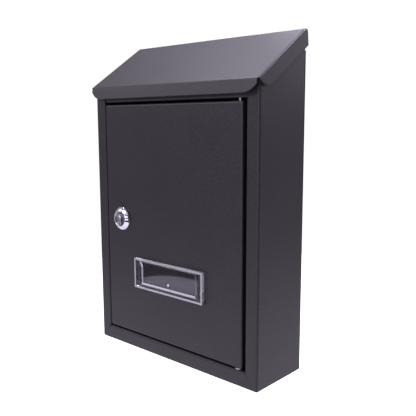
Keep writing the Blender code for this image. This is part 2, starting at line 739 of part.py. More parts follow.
def build_lid_hinge(zinc, axis):
    """Rod through the ears of the side walls, with two straps under the lid."""
    end = BODY_WIDTH / 2 + 0.5 * MM
    height = 2 * end
    rod_profile = [
        (0, height / 2), (ROD_RADIUS - 0.3 * MM, height / 2), (ROD_RADIUS, height / 2 - 0.3 * MM),
        (ROD_RADIUS, -height / 2 + 0.3 * MM), (ROD_RADIUS - 0.3 * MM, -height / 2), (0, -height / 2),
    ]
    across = (0, math.radians(90), 0)
    finish(make_turned("lid_rod", rod_profile, LID_AXIS, across, 20, closed=False), zinc, axis)
    slope_deg = math.degrees(LID_SLOPE)
    along = Vector((math.cos(LID_SLOPE), math.sin(LID_SLOPE)))
    normal = Vector((-math.sin(LID_SLOPE), math.cos(LID_SLOPE)))
    inner = ROD_RADIUS + GAP
    outer = inner + SHEET
    hub = Vector((LID_AXIS.y, LID_AXIS.z))
    leaf = 24 * MM
    curl = arc(tuple(hub), outer, slope_deg + 90, slope_deg - 200, 20)
    hole = arc(tuple(hub), inner, slope_deg - 200, slope_deg + 90, 20)
    leaf_inner = hub + normal * inner - along * leaf
    leaf_outer = hub + normal * outer - along * leaf
    outline = [tuple(leaf_outer)] + curl + hole + [tuple(leaf_inner)]
    for side, name in ((-1, "left"), (1, "right")):
        finish(make_plate(
            f"lid_strap_{name}", outline, "YZ", (side * 70 * MM, 0, 0), 20 * MM,
        ), zinc, axis)
        clip_side = side * (BODY_WIDTH / 2 - SHEET - GAP - 0.4 * MM)
        place = (clip_side, LID_AXIS.y, LID_AXIS.z)
        finish(make_ring(
            f"rod_clip_{name}", ROD_RADIUS + GAP, 2.7 * MM, -0.4 * MM, 0.4 * MM, place, across, 24,
        ), zinc, axis)


def build_mailbox():
    paint = make_material("charcoal_paint", (0.045, 0.042, 0.047), 0.45, 0.3)
    chrome = make_material("chrome", (0.8, 0.8, 0.82), 0.12, 1.0)
    zinc = make_material("zinc_plate", (0.6, 0.61, 0.62), 0.35, 1.0)
    steel = make_material("steel", (0.5, 0.5, 0.5), 0.4, 1.0)
    clear = make_material("clear_plastic", (0.85, 0.87, 0.88), 0.1, 0.0)
    door_axis = make_empty("door_axis", DOOR_AXIS, ROOT)
    lid_axis = make_empty("lid_axis", LID_AXIS, ROOT)
    lock_axis = make_empty("lock_axis", LOCK_AXIS, ROOT)

    build_body_wrap(paint)
    build_back_panel(paint)
    build_top_rail(paint)
    build_hinge_pins(zinc, steel)
    build_door(paint, door_axis)
    build_lock_housing(chrome, door_axis)
    build_lock_fasteners(steel, door_axis)
    build_name_window(clear, steel, door_axis)
    build_lock_core(chrome, steel, lock_axis)
    build_lid(paint, lid_axis)
    build_lid_hinge(zinc, lid_axis)


build_mailbox()
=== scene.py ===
import math

import bmesh
import bpy
from mathutils import Euler, Matrix, Vector


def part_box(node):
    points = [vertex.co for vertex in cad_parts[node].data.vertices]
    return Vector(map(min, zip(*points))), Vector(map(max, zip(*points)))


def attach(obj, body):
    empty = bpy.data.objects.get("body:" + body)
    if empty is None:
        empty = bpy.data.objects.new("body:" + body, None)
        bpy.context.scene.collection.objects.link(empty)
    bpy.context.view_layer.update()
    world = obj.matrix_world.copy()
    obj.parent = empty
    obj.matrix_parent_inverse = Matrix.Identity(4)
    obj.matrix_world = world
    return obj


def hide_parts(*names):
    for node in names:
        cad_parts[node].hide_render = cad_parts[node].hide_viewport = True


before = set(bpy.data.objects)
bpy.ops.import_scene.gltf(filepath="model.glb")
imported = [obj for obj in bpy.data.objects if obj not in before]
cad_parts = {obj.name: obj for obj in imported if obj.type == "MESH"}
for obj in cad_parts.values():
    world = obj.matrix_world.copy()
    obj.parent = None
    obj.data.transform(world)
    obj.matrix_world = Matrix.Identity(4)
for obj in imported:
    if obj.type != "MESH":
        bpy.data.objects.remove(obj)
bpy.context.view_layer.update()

mm = 0.001
tiny = 0.001 * mm
scene = bpy.context.scene
print("frame loaded with", len(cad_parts), "nodes")


def startMaterial(name):
    material = bpy.data.materials.new(name)
    material.use_nodes = True
    tree = material.node_tree
    tree.nodes.clear()
    shader = tree.nodes.new("ShaderNodeBsdfPrincipled")
    output = tree.nodes.new("ShaderNodeOutputMaterial")
    tree.links.new(shader.outputs["BSDF"], output.inputs["Surface"])
    return material, tree, shader


def addNoise(tree, size, detail=2.0, stretch=(1, 1, 1)):
    # size is about one blotch, in metres
    place = tree.nodes.new("ShaderNodeTexCoord")
    mapping = tree.nodes.new("ShaderNodeMapping")
    mapping.inputs["Scale"].default_value = stretch
    noise = tree.nodes.new("ShaderNodeTexNoise")
    noise.inputs["Scale"].default_value = 1 / size
    noise.inputs["Detail"].default_value = detail
    tree.links.new(place.outputs["Object"], mapping.inputs["Vector"])
    tree.links.new(mapping.outputs["Vector"], noise.inputs["Vector"])
    return noise.outputs["Fac"]


def addRange(tree, value, fromLow, fromHigh, toLow, toHigh):
    node = tree.nodes.new("ShaderNodeMapRange")
    tree.links.new(value, node.inputs["Value"])
    for socket, number in (
        ("From Min", fromLow), ("From Max", fromHigh), ("To Min", toLow), ("To Max", toHigh),
    ):
        node.inputs[socket].default_value = number
    return node.outputs["Result"]


def addSpread(tree, noise, low, high):
    # noise seldom leaves the middle of its range
    return addRange(tree, noise, 0.3, 0.7, low, high)


def addMath(tree, operation, first, second):
    node = tree.nodes.new("ShaderNodeMath")
    node.operation = operation
    for socket, value in zip(node.inputs, (first, second)):
        if isinstance(value, (int, float)):
            socket.default_value = value
        else:
            tree.links.new(value, socket)
    return node.outputs["Value"]


def addMix(tree, factor, first, second, blend="MIX"):
    node = tree.nodes.new("ShaderNodeMix")
    node.data_type = "RGBA"
    node.blend_type = blend
    for name, value in (("Factor", factor), ("A", first), ("B", second)):
        socket = [s for s in node.inputs if s.name == name and s.enabled][0]
        if isinstance(value, tuple):
            socket.default_value = (*value, 1)
        elif isinstance(value, (int, float)):
            socket.default_value = value
        else:
            tree.links.new(value, socket)
    return [s for s in node.outputs if s.enabled][0]


roundingSettings = {
    "samples": 6,
    "flat": 0.995,
    "sharp": 0.80,
}


def addRounding(tree, radius):
    # softened edges for the shading, and how near a point is to an edge
    bevel = tree.nodes.new("ShaderNodeBevel")
    bevel.samples = roundingSettings["samples"]
    bevel.inputs["Radius"].default_value = radius
    surface = tree.nodes.new("ShaderNodeNewGeometry")
    dot = tree.nodes.new("ShaderNodeVectorMath")
    dot.operation = "DOT_PRODUCT"
    tree.links.new(bevel.outputs["Normal"], dot.inputs[0])
    tree.links.new(surface.outputs["Normal"], dot.inputs[1])
    flat, sharp = roundingSettings["flat"], roundingSettings["sharp"]
    edge = addRange(tree, dot.outputs["Value"], flat, sharp, 0, 1)
    return bevel.outputs["Normal"], edge


def addBump(tree, shader, height, strength, distance, normal=None):
    bump = tree.nodes.new("ShaderNodeBump")
    bump.inputs["Strength"].default_value = strength
    bump.inputs["Distance"].default_value = distance
    tree.links.new(height, bump.inputs["Height"])
    if normal is not None:
        tree.links.new(normal, bump.inputs["Normal"])
    tree.links.new(bump.outputs["Normal"], shader.inputs["Normal"])


cameraSettings = {
    "place": (0.39607, -0.45210, 0.08582),
    "azimuth": 41.98,
    "down": 8.39,
    "roll": -0.17,
    "lens": 50.16,
}


def addCamera(settings):
    data = bpy.data.cameras.new("viewCamera")
    data.lens = settings["lens"]
    data.sensor_width = 36
    camera = bpy.data.objects.new("viewCamera", data)
    aim = Euler((math.radians(90 - settings["down"]), 0, math.radians(settings["azimuth"])))
    turned = aim.to_matrix() @ Matrix.Rotation(math.radians(settings["roll"]), 3, "Z")
    camera.location = settings["place"]
    camera.rotation_euler = turned.to_euler()
    scene.collection.objects.link(camera)
    scene.camera = camera


addCamera(cameraSettings)

studioSettings = {
    "backdrop": 1.05,
    "tones": (
        (-0.25, (0.419, 0.384, 0.476)), (0.02, (0.259, 0.237, 0.294)),
        (0.50, (0.344, 0.316, 0.391)), (0.90, (0.442, 0.406, 0.502)),
    ),
    "darkSide": (0.64, -0.77, 0.0),
    "darkSpread": (0.3, 0.9),
    "darkShare": 0.95,
}

softBoxes = {
    "topLeftBox": {"place": (-0.635, 0.170, 1.236), "size": (0.5, 0.5), "power": 2.9},
    "topBackBox": {"place": (-0.495, 0.857, 0.990), "size": (0.5, 0.5), "power": 4.2},
    "frontBox": {"place": (-0.307, -1.147, 0.742), "size": (0.5, 0.5), "power": 6.3},
    "leftFrontBox": {"place": (-0.972, -0.816, 0.592), "size": (0.5, 0.5), "power": 1.9},
    "rightBox": {"place": (1.139, 0.415, 0.700), "size": (0.5, 0.5), "power": 3.4},
    "rightBackBox": {"place": (0.717, 1.103, 0.479), "size": (0.5, 0.5), "power": 1.3},
    "lockLowBox": {"place": (0.260, -1.477, 0.026), "size": (1.4, 0.75), "power": 4.2},
    "lockHighBox": {"place": (0.347, -1.209, 0.817), "size": (0.9, 0.6), "power": 1.5},
    "sideFoldBox": {"place": (0.350, 0.500, 1.148), "size": (0.25, 0.25), "power": 10},
    "frontFoldBox": {"place": (-0.628, -0.168, 1.126), "size": (0.2, 0.2), "power": 3},
}


def addRoom(settings):
    world = bpy.data.worlds.new("studioRoom")
    world.use_nodes = True
    tree = world.node_tree
    tree.nodes.clear()
    white = tree.nodes.new("ShaderNodeBackground")
    white.inputs["Color"].default_value = (1, 1, 1, 1)
    white.inputs["Strength"].default_value = settings["backdrop"]
    room = tree.nodes.new("ShaderNodeBackground")
    place = tree.nodes.new("ShaderNodeTexCoord")
    split = tree.nodes.new("ShaderNodeSeparateXYZ")
    tree.links.new(place.outputs["Generated"], split.inputs["Vector"])
    ramp = tree.nodes.new("ShaderNodeValToRGB")
    ramp.color_ramp.elements.remove(ramp.color_ramp.elements[0])
    for number, (height, tone) in enumerate(settings["tones"]):
        at = (height + 1) / 2
        stop = ramp.color_ramp.elements[0] if number == 0 else ramp.color_ramp.elements.new(at)
        stop.position = at
        stop.color = (*tone, 1)
    level = addRange(tree, split.outputs["Z"], -1, 1, 0, 1)
    tree.links.new(level, ramp.inputs["Fac"])
    side = tree.nodes.new("ShaderNodeVectorMath")
    side.operation = "DOT_PRODUCT"
    side.inputs[1].default_value = settings["darkSide"]
    tree.links.new(place.outputs["Generated"], side.inputs[0])
    farEdge, nearEdge = settings["darkSpread"]
    shade = addRange(tree, side.outputs["Value"], farEdge, nearEdge, 1, 1 - settings["darkShare"])
    tree.links.new(
        addMix(tree, 1.0, ramp.outputs["Color"], shade, "MULTIPLY"), room.inputs["Color"],
    )
    path = tree.nodes.new("ShaderNodeLightPath")
    mix = tree.nodes.new("ShaderNodeMixShader")
    output = tree.nodes.new("ShaderNodeOutputWorld")
    tree.links.new(path.outputs["Is Camera Ray"], mix.inputs["Fac"])
    tree.links.new(room.outputs["Background"], mix.inputs[1])
    tree.links.new(white.outputs["Background"], mix.inputs[2])
    tree.links.new(mix.outputs["Shader"], output.inputs["Surface"])
    scene.world = world


lightColour = (0.96, 0.91, 1.06)


def addSoftBox(name, settings):
    data = bpy.data.lights.new(name, "AREA")
    data.shape = "RECTANGLE"
    data.size, data.size_y = settings["size"]
    data.energy = settings["power"]
    data.color = lightColour
    light = bpy.data.objects.new(name, data)
    light.location = settings["place"]
    light.rotation_euler = (-Vector(settings["place"])).to_track_quat("-Z", "Y").to_euler()
    scene.collection.objects.link(light)


addRoom(studioSettings)
for boxName, boxSettings in softBoxes.items():
    addSoftBox(boxName, boxSettings)
scene.view_settings.view_transform = "Standard"
print("studio ready")


paintSettings = {
    "dark": (0.0130, 0.0118, 0.0140),
    "light": (0.0235, 0.0210, 0.0252),
    # the pale edge colour: partly worn paint, partly a painted highlight on the rounded folds
    "wornSheen": (0.110, 0.105, 0.115),
    "wearAndSheen": 0.06,
    "grain": 2.2 * mm,
    "speck": 0.35 * mm,
    "cloud": 45 * mm,
    "smooth": 0.34,
    "rough": 0.44,
    "bump": 0.4,
    "depth": 0.12 * mm,
    "rounding": 0.8 * mm,
    "ior": 1.5,
    "cover": (0.35, 0.68),
    "cloudTone": (0.90, 1.08),
    "wornSheenCloud": (0.4, 0.7, 0.2, 1),  # where the cloud starts and ends, and the edge wear and painted highlight there
    "speckShare": 0.15,
}


def makePaint(settings):
    material, tree, shader = startMaterial("charcoalPowderCoat")
    grain = addNoise(tree, settings["grain"], 3)
    speck = addNoise(tree, settings["speck"], 1)
    cloud = addNoise(tree, settings["cloud"], 3)
    normal, edge = addRounding(tree, settings["rounding"])
    cover = addRange(tree, grain, *settings["cover"], 0, 1)
    body = addMix(tree, cover, settings["dark"], settings["light"])
    cloudTone = addSpread(tree, cloud, *settings["cloudTone"])
    toned = addMix(tree, 1.0, body, cloudTone, "MULTIPLY")
    # lighter colour along the edges: partly worn paint, partly a painted highlight on the folds
    edgeWearAndSheen = addMath(tree, "MULTIPLY", edge, addRange(tree, cloud, *settings["wornSheenCloud"]))
    edgeWearAndSheen = addMath(tree, "MULTIPLY", edgeWearAndSheen, settings["wearAndSheen"])
    colour = addMix(tree, edgeWearAndSheen, toned, settings["wornSheen"])
    tree.links.new(colour, shader.inputs["Base Color"])
    gloss = addSpread(tree, grain, settings["smooth"], settings["rough"])
    tree.links.new(gloss, shader.inputs["Roughness"])
    shader.inputs["IOR"].default_value = settings["ior"]
    fine = addMath(tree, "MULTIPLY", speck, settings["speckShare"])
    height = addMath(tree, "ADD", grain, fine)
    addBump(tree, shader, height, settings["bump"], settings["depth"], normal)
    return material


metalShared = {
    "stretch": (1, 1, 6),
    "rounding": 0.25 * mm,
    "cover": (0.35, 0.65),
    # pale edge colour: partly worn plating, partly a painted highlight on the edges
    "edge": (0.92, 0.92, 0.93),
    "edgeShare": 0.25,
    "depth": 0.05 * mm,
}
metalSettings = {
    "brightChrome": {
        "low": (0.70, 0.70, 0.72), "high": (0.86, 0.86, 0.88), "blotch": 6 * mm,
        "smooth": 0.05, "rough": 0.12, "streak": 0.4 * mm, "bump": 0.04,
    },
    # a darker copy of the chrome: painted dark reflection on the plug and the middle of the lock
    # collar
    "darkReflectionChrome": {
        "low": (0.20, 0.20, 0.22), "high": (0.32, 0.32, 0.34), "blotch": 2 * mm,
        "smooth": 0.12, "rough": 0.22, "streak": 0.6 * mm, "bump": 0.03,
    },
    "zincPlate": {
        "low": (0.42, 0.42, 0.43), "high": (0.62, 0.62, 0.60), "blotch": 3 * mm,
        "smooth": 0.26, "rough": 0.42, "streak": 1.2 * mm, "bump": 0.04,
    },
    "plainSteel": {
        "low": (0.38, 0.38, 0.39), "high": (0.46, 0.46, 0.46), "blotch": 4 * mm,
        "smooth": 0.30, "rough": 0.38, "streak": 1.2 * mm, "bump": 0.04,
    },
}


def makeMetal(name, settings):
    material, tree, shader = startMaterial(name)
    blotch = addNoise(tree, settings["blotch"], 3)
    streak = addNoise(tree, settings["streak"], 2, settings["stretch"])
    normal, edge = addRounding(tree, settings["rounding"])
    cover = addRange(tree, blotch, *settings["cover"], 0, 1)
    tone = addMix(tree, cover, settings["low"], settings["high"])
    # lighter colour along the edges: partly wear, partly a painted highlight
    edgeWearAndSheen = addMath(tree, "MULTIPLY", edge, settings["edgeShare"])
    tone = addMix(tree, edgeWearAndSheen, tone, settings["edge"])
    tree.links.new(tone, shader.inputs["Base Color"])
    shader.inputs["Metallic"].default_value = 1.0
    gloss = addSpread(tree, blotch, settings["smooth"], settings["rough"])
    tree.links.new(gloss, shader.inputs["Roughness"])
    addBump(tree, shader, streak, settings["bump"], settings["depth"], normal)
    return material


plasticSettings = {
    "tint": (0.97, 0.975, 0.985),
    "smooth": 0.015,
    "rough": 0.06,
    "haze": 9 * mm,
    "scratch": 0.5 * mm,
    "stretch": (0.2, 1, 3),
    "ior": 1.22,  # low, so that the pocket stays dark
    "bump": 0.012,
    "depth": 0.03 * mm,
}


def makePlastic(settings):
    material, tree, shader = startMaterial("clearMouldedPlastic")
    haze = addNoise(tree, settings["haze"], 3)
    scratch = addNoise(tree, settings["scratch"], 2, settings["stretch"])
    tint = addMix(tree, addSpread(tree, haze, 0, 1), settings["tint"], (1, 1, 1))
    tree.links.new(tint, shader.inputs["Base Color"])
    gloss = addSpread(tree, haze, settings["smooth"], settings["rough"])
    tree.links.new(gloss, shader.inputs["Roughness"])
    shader.inputs["IOR"].default_value = settings["ior"]
    shader.inputs["Transmission Weight"].default_value = 1.0
    addBump(tree, shader, scratch, settings["bump"], settings["depth"])
    output = [node for node in tree.nodes if node.type == "OUTPUT_MATERIAL"][0]
    path = tree.nodes.new("ShaderNodeLightPath")
    clear = tree.nodes.new("ShaderNodeBsdfTransparent")
    mix = tree.nodes.new("ShaderNodeMixShader")
    tree.links.new(path.outputs["Is Shadow Ray"], mix.inputs["Fac"])
    tree.links.new(shader.outputs["BSDF"], mix.inputs[1])
    tree.links.new(clear.outputs["BSDF"], mix.inputs[2])
    tree.links.new(mix.outputs["Shader"], output.inputs["Surface"])
    return material


plainSettings = {
    # near black for the collar notches and the keyway: painted shade in the recesses
    "recessShadeBlack": {
        "low": (0.006, 0.005, 0.006), "high": (0.020, 0.018, 0.020), "blotch": 0.6 * mm,
        "smooth": 0.5, "rough": 0.8, "bump": 0.2, "depth": 0.05 * mm,
    },
    # white for the small pip on the window: painted highlight on the dome
    "pipHighlightWhite": {
        "low": (0.86, 0.85, 0.88), "high": (0.95, 0.94, 0.96), "blotch": 0.8 * mm,
        "smooth": 0.15, "rough": 0.3, "bump": 0.05, "depth": 0.03 * mm,
    },
}


def makePlain(name, settings):
    material, tree, shader = startMaterial(name)
    blotch = addNoise(tree, settings["blotch"], 2)
    colour = addMix(tree, blotch, settings["low"], settings["high"])
    tree.links.new(colour, shader.inputs["Base Color"])
    gloss = addSpread(tree, blotch, settings["smooth"], settings["rough"])
    tree.links.new(gloss, shader.inputs["Roughness"])
    addBump(tree, shader, blotch, settings["bump"], settings["depth"])
    return material


rimSettings = {
    "low": (0.80, 0.78, 0.84),
    "high": (0.94, 0.93, 0.97),
    "haze": 5 * mm,
    "scratch": 0.5 * mm,
    "smooth": 0.08,
    "rough": 0.22,
    "clear": 0.55,
    "ior": 1.49,
    "bump": 0.04,
    "depth": 0.03 * mm,
}


def makeRimPlastic(settings):
    # painted highlight: the polished edges get a milky pale colour for the light they gather
    material, tree, shader = startMaterial("paintedHighlightPlasticEdge")
    haze = addNoise(tree, settings["haze"], 3)
    cover = addSpread(tree, haze, 0, 1)
    tint = addMix(tree, cover, settings["low"], settings["high"])
    tree.links.new(tint, shader.inputs["Base Color"])
    gloss = addSpread(tree, haze, settings["smooth"], settings["rough"])
    tree.links.new(gloss, shader.inputs["Roughness"])
    shader.inputs["IOR"].default_value = settings["ior"]
    shader.inputs["Transmission Weight"].default_value = settings["clear"]
    scratch = addNoise(tree, settings["scratch"], 2)
    addBump(tree, shader, scratch, settings["bump"], settings["depth"])
    return material


# the dark tone is painted shade inside the pocket, the pale tone a painted reflection on its lower
# part
shadeFilmSettings = {
    "dark": (0.004, 0.004, 0.005),
    "pale": (0.095, 0.091, 0.104),
    "edge": (-2.6 * mm, 0.2304, -2.33),  # height, slope and bend, per metre
    "edgeStart": -31 * mm,
    "edgeBend": -8 * mm,
    "soft": 0.9 * mm,
    "fleck": 0.5 * mm,
    "thinnest": 0.75,
    "smooth": 0.5,
    "rough": 0.7,
    "specular": 0.1,
    "bump": 0.1,
    "depth": 0.03 * mm,
}


def makeShadeFilm(settings, centre):
    # a dark backing as painted shade inside the pocket, with a pale painted reflection over its
    # lower part, along a bent edge
    material, tree, shader = startMaterial("paintedShadeReflectionFilm")
    place = tree.nodes.new("ShaderNodeTexCoord")
    split = tree.nodes.new("ShaderNodeSeparateXYZ")
    tree.links.new(place.outputs["Object"], split.inputs["Vector"])
    start, slope, bend = settings["edge"]
    along = addMath(tree, "SUBTRACT", split.outputs["X"], centre.x + settings["edgeStart"])
    past = addMath(tree, "SUBTRACT", split.outputs["X"], centre.x + settings["edgeBend"])
    bent = addMath(tree, "MULTIPLY", addMath(tree, "MULTIPLY", along, past), bend)
    line = addMath(tree, "ADD", addMath(tree, "MULTIPLY", along, slope), bent)
    above = addMath(tree, "SUBTRACT", split.outputs["Z"], centre.z + start)
    above = addMath(tree, "SUBTRACT", above, line)
    # pale below the bent edge: painted reflection
    paintedReflection = addRange(tree, above, -settings["soft"], settings["soft"], 1, 0)
    fleck = addNoise(tree, settings["fleck"], 3)
    paintedReflection = addMath(tree, "MULTIPLY", paintedReflection, addSpread(tree, fleck, settings["thinnest"], 1.0))
    colour = addMix(tree, paintedReflection, settings["dark"], settings["pale"])
    tree.links.new(colour, shader.inputs["Base Color"])
    gloss = addSpread(tree, fleck, settings["smooth"], settings["rough"])
    tree.links.new(gloss, shader.inputs["Roughness"])
    shader.inputs["Specular IOR Level"].default_value = settings["specular"]
    addBump(tree, shader, fleck, settings["bump"], settings["depth"])
    return material


paint = makePaint(paintSettings)
metals = {
    name: makeMetal(name, {**metalShared, **settings}) for name, settings in metalSettings.items()
}
chrome = metals["brightChrome"]
darkReflectionMetal = metals["darkReflectionChrome"]
zinc = metals["zincPlate"]
steel = metals["plainSteel"]
clearPlastic = makePlastic(plasticSettings)
plains = {name: makePlain(name, settings) for name, settings in plainSettings.items()}
recessShade = plains["recessShadeBlack"]
pipHighlight = plains["pipHighlightWhite"]
highlightRimPlastic = makeRimPlastic(rimSettings)

finishes = {
    "paint": paint, "chrome": chrome, "zinc": zinc, "steel": steel, "clear_plastic": clearPlastic,
}
nodeSlots = {
    "paint": ("body_wrap", "back_panel", "top_rail", "door_panel", "lid"),
    "chrome": ("lock_housing", "lock_plug"),
    "zinc": (
        "lid_rod", "lid_strap_left", "lid_strap_right", "rod_clip_left", "rod_clip_right",
        "upper_hinge_pin", "lower_hinge_pin",
    ),
    "steel": (
        "lock_washer", "lock_nut", "lock_cam", "cam_washer", "cam_screw", "lower_hinge_washer",
        "lower_pin_clip", "upper_pin_clip", "window_retainer_left", "window_retainer_right",
    ),
    "clear_plastic": ("name_window",),
}


def dressNodes():
    for slotName, nodeNames in nodeSlots.items():
        for nodeName in nodeNames:
            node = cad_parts[nodeName]
            node.data.materials.clear()
            node.data.materials.append(finishes[slotName])


dressNodes()
print("materials ready")


floorSettings = {
    "height": -0.42,
    "radius": 1.4,
    "centre": (-0.12, 0.20),
    "fibre": 4 * mm,
    "low": (0.84, 0.84, 0.84),
    "high": (0.90, 0.90, 0.90),
    "rough": 0.9,
    "glow": (0.036, 0.035, 0.040),
    "seen": 26,  # how much brighter the glow is to the camera
}


def makeFloorFinish(settings):
    material, tree, shader = startMaterial("palePaperFloor")
    fibre = addNoise(tree, settings["fibre"], 4)
    colour = addMix(tree, fibre, settings["low"], settings["high"])
    tree.links.new(colour, shader.inputs["Base Color"])
    shader.inputs["Roughness"].default_value = settings["rough"]
    shader.inputs["Emission Color"].default_value = (*settings["glow"], 1)
    path = tree.nodes.new("ShaderNodeLightPath")
    seen = addRange(tree, path.outputs["Is Camera Ray"], 0, 1, 1, settings["seen"])
    tree.links.new(seen, shader.inputs["Emission Strength"])
    return material


def addFloor(settings):
    bm = bmesh.new()
    bmesh.ops.create_circle(bm, cap_ends=True, segments=128, radius=settings["radius"])
    place = (*settings["centre"], settings["height"])
    bmesh.ops.translate(bm, verts=bm.verts, vec=place)
    mesh = bpy.data.meshes.new("paperFloor")
    bm.to_mesh(mesh)
    bm.free()
    mesh.materials.append(makeFloorFinish(settings))
    floor = bpy.data.objects.new("paperFloor", mesh)
    scene.collection.objects.link(floor)


addFloor(floorSettings)


flatArea = 5 * mm * mm  # larger faces stay flat


def smoothByAngle(bm, degrees):
    for face in bm.faces:
        face.smooth = face.calc_area() < flatArea
    for edge in bm.edges:
        turn = edge.calc_face_angle(math.pi) if edge.is_manifold else math.pi
        edge.smooth = turn < math.radians(degrees)


def addPiece(name, bm, materials, body, nodes=(), angle=35):
    smoothByAngle(bm, angle)
    mesh = bpy.data.meshes.new(name)
    bm.to_mesh(mesh)
    bm.free()
    for material in materials:
        mesh.materials.append(material)
    piece = bpy.data.objects.new(name, mesh)
    scene.collection.objects.link(piece)
    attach(piece, body)
    if nodes:
        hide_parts(*nodes)
    return piece


def spinProfile(points, centre, steps=72, closed=True):
    # each point is its radius and its height out of the door
    bm = bmesh.new()
    verts = [bm.verts.new((centre.x + radius, centre.y - out, centre.z)) for radius, out in points]
    pairs = list(zip(verts, verts[1:]))
    if closed:
        pairs.append((verts[-1], verts[0]))
    edges = [bm.edges.new(pair) for pair in pairs]
    bmesh.ops.spin(
        bm, geom=verts + edges, cent=centre, axis=(0, 1, 0), angle=math.tau, steps=steps,
        use_merge=True,
    )
    bmesh.ops.remove_doubles(bm, verts=bm.verts, dist=tiny)
    bmesh.ops.recalc_face_normals(bm, faces=bm.faces)
    return bm


def scaled(points):
    return [(radius * mm, out * mm) for radius, out in points]


def addBlock(bm, low, high):
    made = bmesh.ops.create_cube(bm, size=1)["verts"]
    size = high - low
    bmesh.ops.scale(bm, verts=made, vec=size)
    bmesh.ops.translate(bm, verts=made, vec=(low + high) / 2)


def cutAway(bm, tool):
    # takes the tool's shape out of a closed shape
    shapes = []
    for source in (bm, tool):
        mesh = bpy.data.meshes.new("shape")
        source.to_mesh(mesh)
        source.free()
        shapes.append(bpy.data.objects.new("shape", mesh))
        scene.collection.objects.link(shapes[-1])
    kept, taken = shapes
    modifier = kept.modifiers.new("cut", "BOOLEAN")
    modifier.operation = "DIFFERENCE"
    modifier.solver = "EXACT"
    modifier.object = taken
    bpy.context.view_layer.update()
    result = bmesh.new()
    result.from_object(kept, bpy.context.evaluated_depsgraph_get())
    for shape in shapes:
        bpy.data.objects.remove(shape)
    bmesh.ops.remove_doubles(result, verts=result.verts, dist=tiny)
    return result


def turnAngle(point, centre):
    # degrees round the lock, 0 on the right and 90 at the top
    return math.degrees(math.atan2(point.z - centre.z, point.x - centre.x))


def joinShapes(first, second):
    mesh = bpy.data.meshes.new("joined")
    second.to_mesh(mesh)
    second.free()
    first.from_mesh(mesh)
    bpy.data.meshes.remove(mesh)


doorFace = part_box("door_panel")[0].y
plugLow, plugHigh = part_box("lock_plug")
lockCentre = (plugLow + plugHigh) / 2
lockCentre.y = doorFace

collarSettings = {
    "profile": [
        (5.8, 2.2), (6.1, 2.3), (6.3, 2.7), (6.9, 2.9), (7.1, 3.2), (7.3, 3.9), (7.6, 4.25),
        (8.0, 4.4), (8.5, 4.3), (9.3, 3.85), (10.3, 3.2), (11.2, 2.5), (11.8, 1.9),
        (12.1, 1.4), (12.2, 0.7), (12.0, 0.35), (9.0, 0.35), (5.8, 0.35),
    ],
    "notchAngles": ((5, 10), (-15, -5)),
    "notchRadii": (8.6 * mm, 12.0 * mm),
    "notchDepth": 0.5 * mm,
    "notchSlope": 0.12 * mm,
    "darkReflectionRadius": 7.5 * mm,
    "barrelRadius": 8.95,
    "rootRadius": 8.5,
    "bore": 5.8,
    "pitch": 1.0,
    "threadSteps": (0.4, 0.5, 0.9),  # root's start and end, and the next crest's start
    "barrelFront": 0.4,
    "barrelLength": 11.7,
    "flatHalf": 8.0 * mm,
}


def makeCollar(settings):
    bm = spinProfile(scaled(settings["profile"]), lockCentre)
    innerRadius, outerRadius = settings["notchRadii"]
    for low, high in settings["notchAngles"]:
        chosen = []
        for face in bm.faces:
            middle = face.calc_center_median()
            away = math.hypot(middle.x - lockCentre.x, middle.z - lockCentre.z)
            inBand = low < turnAngle(middle, lockCentre) < high
            if inBand and innerRadius < away < outerRadius and face.normal.y < 0.1:
                chosen.append(face)
        bmesh.ops.inset_region(
            bm, faces=chosen, thickness=settings["notchSlope"], depth=-settings["notchDepth"],
            use_even_offset=True,
        )
        # the notches take the near-black: painted shade in the recesses
        for face in chosen:
            face.material_index = 2
    # faces near the lock's middle take the darker copy: painted dark reflection
    for face in bm.faces:
        middle = face.calc_center_median() - lockCentre
        if math.hypot(middle.x, middle.z) < settings["darkReflectionRadius"]:
            face.material_index = 1
    bore, crest, root = settings["bore"], settings["barrelRadius"], settings["rootRadius"]
    rootStart, rootEnd, crestStart = settings["threadSteps"]
    profile = [(bore, settings["barrelFront"]), (crest, settings["barrelFront"])]
    out = 0.0
    while out > -settings["barrelLength"] + settings["pitch"]:
        profile += [(crest, out), (root, out - rootStart)]
        profile += [(root, out - rootEnd), (crest, out - crestStart)]
        out -= settings["pitch"]
    profile += [(root, -settings["barrelLength"]), (bore, -settings["barrelLength"])]
    barrel = spinProfile(scaled(profile), lockCentre, 60)
    for side in (-1, 1):
        plane = (lockCentre.x + side * settings["flatHalf"], 0, 0)
        cut = bmesh.ops.bisect_plane(
            barrel, geom=barrel.verts[:] + barrel.edges[:] + barrel.faces[:], dist=tiny,
            plane_co=plane, plane_no=(side, 0, 0), clear_outer=True,
        )["geom_cut"]
        rims = [part for part in cut if isinstance(part, bmesh.types.BMEdge)]
        bmesh.ops.edgenet_fill(barrel, edges=rims)
    bmesh.ops.recalc_face_normals(barrel, faces=barrel.faces)
    joinShapes(bm, barrel)
    addPiece("lockCollar", bm, (chrome, darkReflectionMetal, recessShade), "door", ["lock_housing"])


plugSettings = {
    "profile": [
        (0, 1.75), (0.8, 1.8), (3.6, 2.75), (4.1, 2.8), (4.7, 3.1), (5.0, 3.25), (5.3, 3.2),
        (5.5, 2.9), (5.5, -11.9), (0, -11.9),
    ],
    "keyway": [
        (-1.2, 3.5), (0.1, 3.5), (0.6, 2.2), (1.3, 1.2), (1.5, 0.3), (1.2, -0.4), (1.4, -1.1),
        (2.0, -1.9), (2.0, -3.0), (1.4, -3.6), (0.0, -3.6), (-0.5, -2.6), (-0.1, -1.6),
        (-0.3, -0.3), (-0.9, 0.3), (-0.5, 1.2), (-1.2, 2.3),
    ],
    "keywayStart": -5 * mm,
    "keywayDepth": 7 * mm,
    "slotHalf": (2.2 * mm, 3.7 * mm),
    "slotDepth": 3 * mm,
    "highlightRadius": 3.7 * mm,
    "stemHalf": 3.5 * mm,
    "stemReach": (11 * mm, 14.4 * mm),
    "stemSoften": 0.4 * mm,
}


